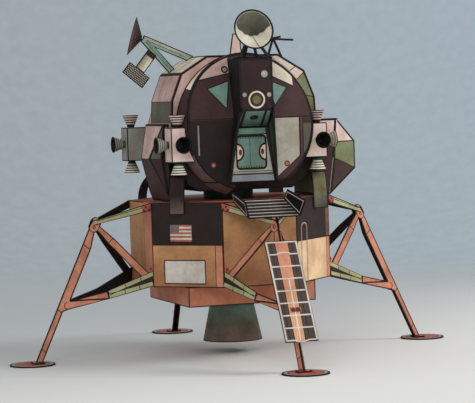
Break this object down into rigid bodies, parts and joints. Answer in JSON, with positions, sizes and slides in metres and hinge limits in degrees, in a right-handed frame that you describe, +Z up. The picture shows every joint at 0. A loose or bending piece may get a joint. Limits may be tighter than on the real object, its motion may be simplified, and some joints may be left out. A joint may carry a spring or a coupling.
{
  "type": "card model of a lunar lander",
  "caption": "Folded card model of a two-stage lunar lander on splayed legs, with a porch, ladder, thruster cones and dish antennas; the upper stage lifts off.",
  "frame": {"origin": "on the floor, in the middle of the four footpads", "axes": "+Z up, -Y is the front with the hatch, porch and ladder, +X is to the right of someone who faces the front"},
  "size_m": [0.217, 0.217, 0.1605],
  "materials": {
    "body_card": "matt printed card, ochre panels and dark brown upper panels, inked edges",
    "orange_card": "matt printed card, orange-brown watercolour mottling, inked edges",
    "bell_card": "matt printed card rolled into a cone, dark green turning red-brown at the rim",
    "green_card": "matt printed card, dark blue-green",
    "leg_card": "matt printed card, orange struts with pale green upper struts, black on the inner side",
    "pad_card": "matt printed card, red disc with a grey ring and a black edge",
    "porch_card": "matt printed card, black with white edge lines and slats",
    "ladder_card": "matt printed card, white rails and rungs on a dark ground over an orange strut",
    "deflector_card": "matt printed card, mottled olive and brown",
    "cabin_card": "matt printed card, dark brown with cream, pink and grey panels and teal windows",
    "tower_card": "matt printed card, dark brown front",
    "hatch_card": "matt printed card, teal green with an inked door outline and blank pinkish handles",
    "pink_card": "matt printed card, pale pink, white and green panels, inked edges",
    "bay_card": "matt printed card, pink and green upper panels, dark brown lower panels",
    "aft_card": "matt printed card, grey-brown panels",
    "quad_card": "matt printed card, pale pink boxes with grey-and-white striped paper cones, black inside",
    "dish_card": "matt printed card rolled into a shallow cone, cream-green with a dark olive area",
    "antenna_card": "matt printed card, pale blue-green strips",
    "dark_strip": "matt printed card cut into narrow dark strips",
    "lattice_card": "matt printed card, dark with a dotted lattice"
  },
  "bodies": {
    "descent_stage": {"descent_body": "body_card", "lower_box": "orange_card", "engine_bell": "bell_card", "stage_collar": "green_card", "front_leg": "leg_card", "left_leg": "leg_card", "right_leg": "leg_card", "rear_leg": "leg_card", "front_footpad": "pad_card", "left_footpad": "pad_card", "right_footpad": "pad_card", "rear_footpad": "pad_card", "porch": "porch_card", "ladder": "ladder_card", "front_left_deflector": "deflector_card", "front_right_deflector": "deflector_card", "rear_left_deflector": "deflector_card", "rear_right_deflector": "deflector_card"},
    "ascent_stage": {"cabin": "cabin_card", "front_tower": "tower_card", "hatch": "hatch_card", "mid_section": "pink_card", "left_bay": "bay_card", "right_bay": "bay_card", "aft_bay": "aft_card", "front_left_quad": "quad_card", "front_right_quad": "quad_card", "rear_left_quad": "quad_card", "rear_right_quad": "quad_card", "radar_dish": "dish_card", "radar_stand": "dark_strip", "steerable_dish": "cabin_card", "steerable_arm": "antenna_card", "lattice_panel": "lattice_card", "inflight_antenna": "dark_strip", "top_antenna_card": "pink_card"}
  },
  "joints": [
    {"name": "stage_lift", "type": "slide", "parent": "descent_stage", "child": "ascent_stage", "axis": [0, 0, 1], "range_m": [0, 0.1]}
  ]
}
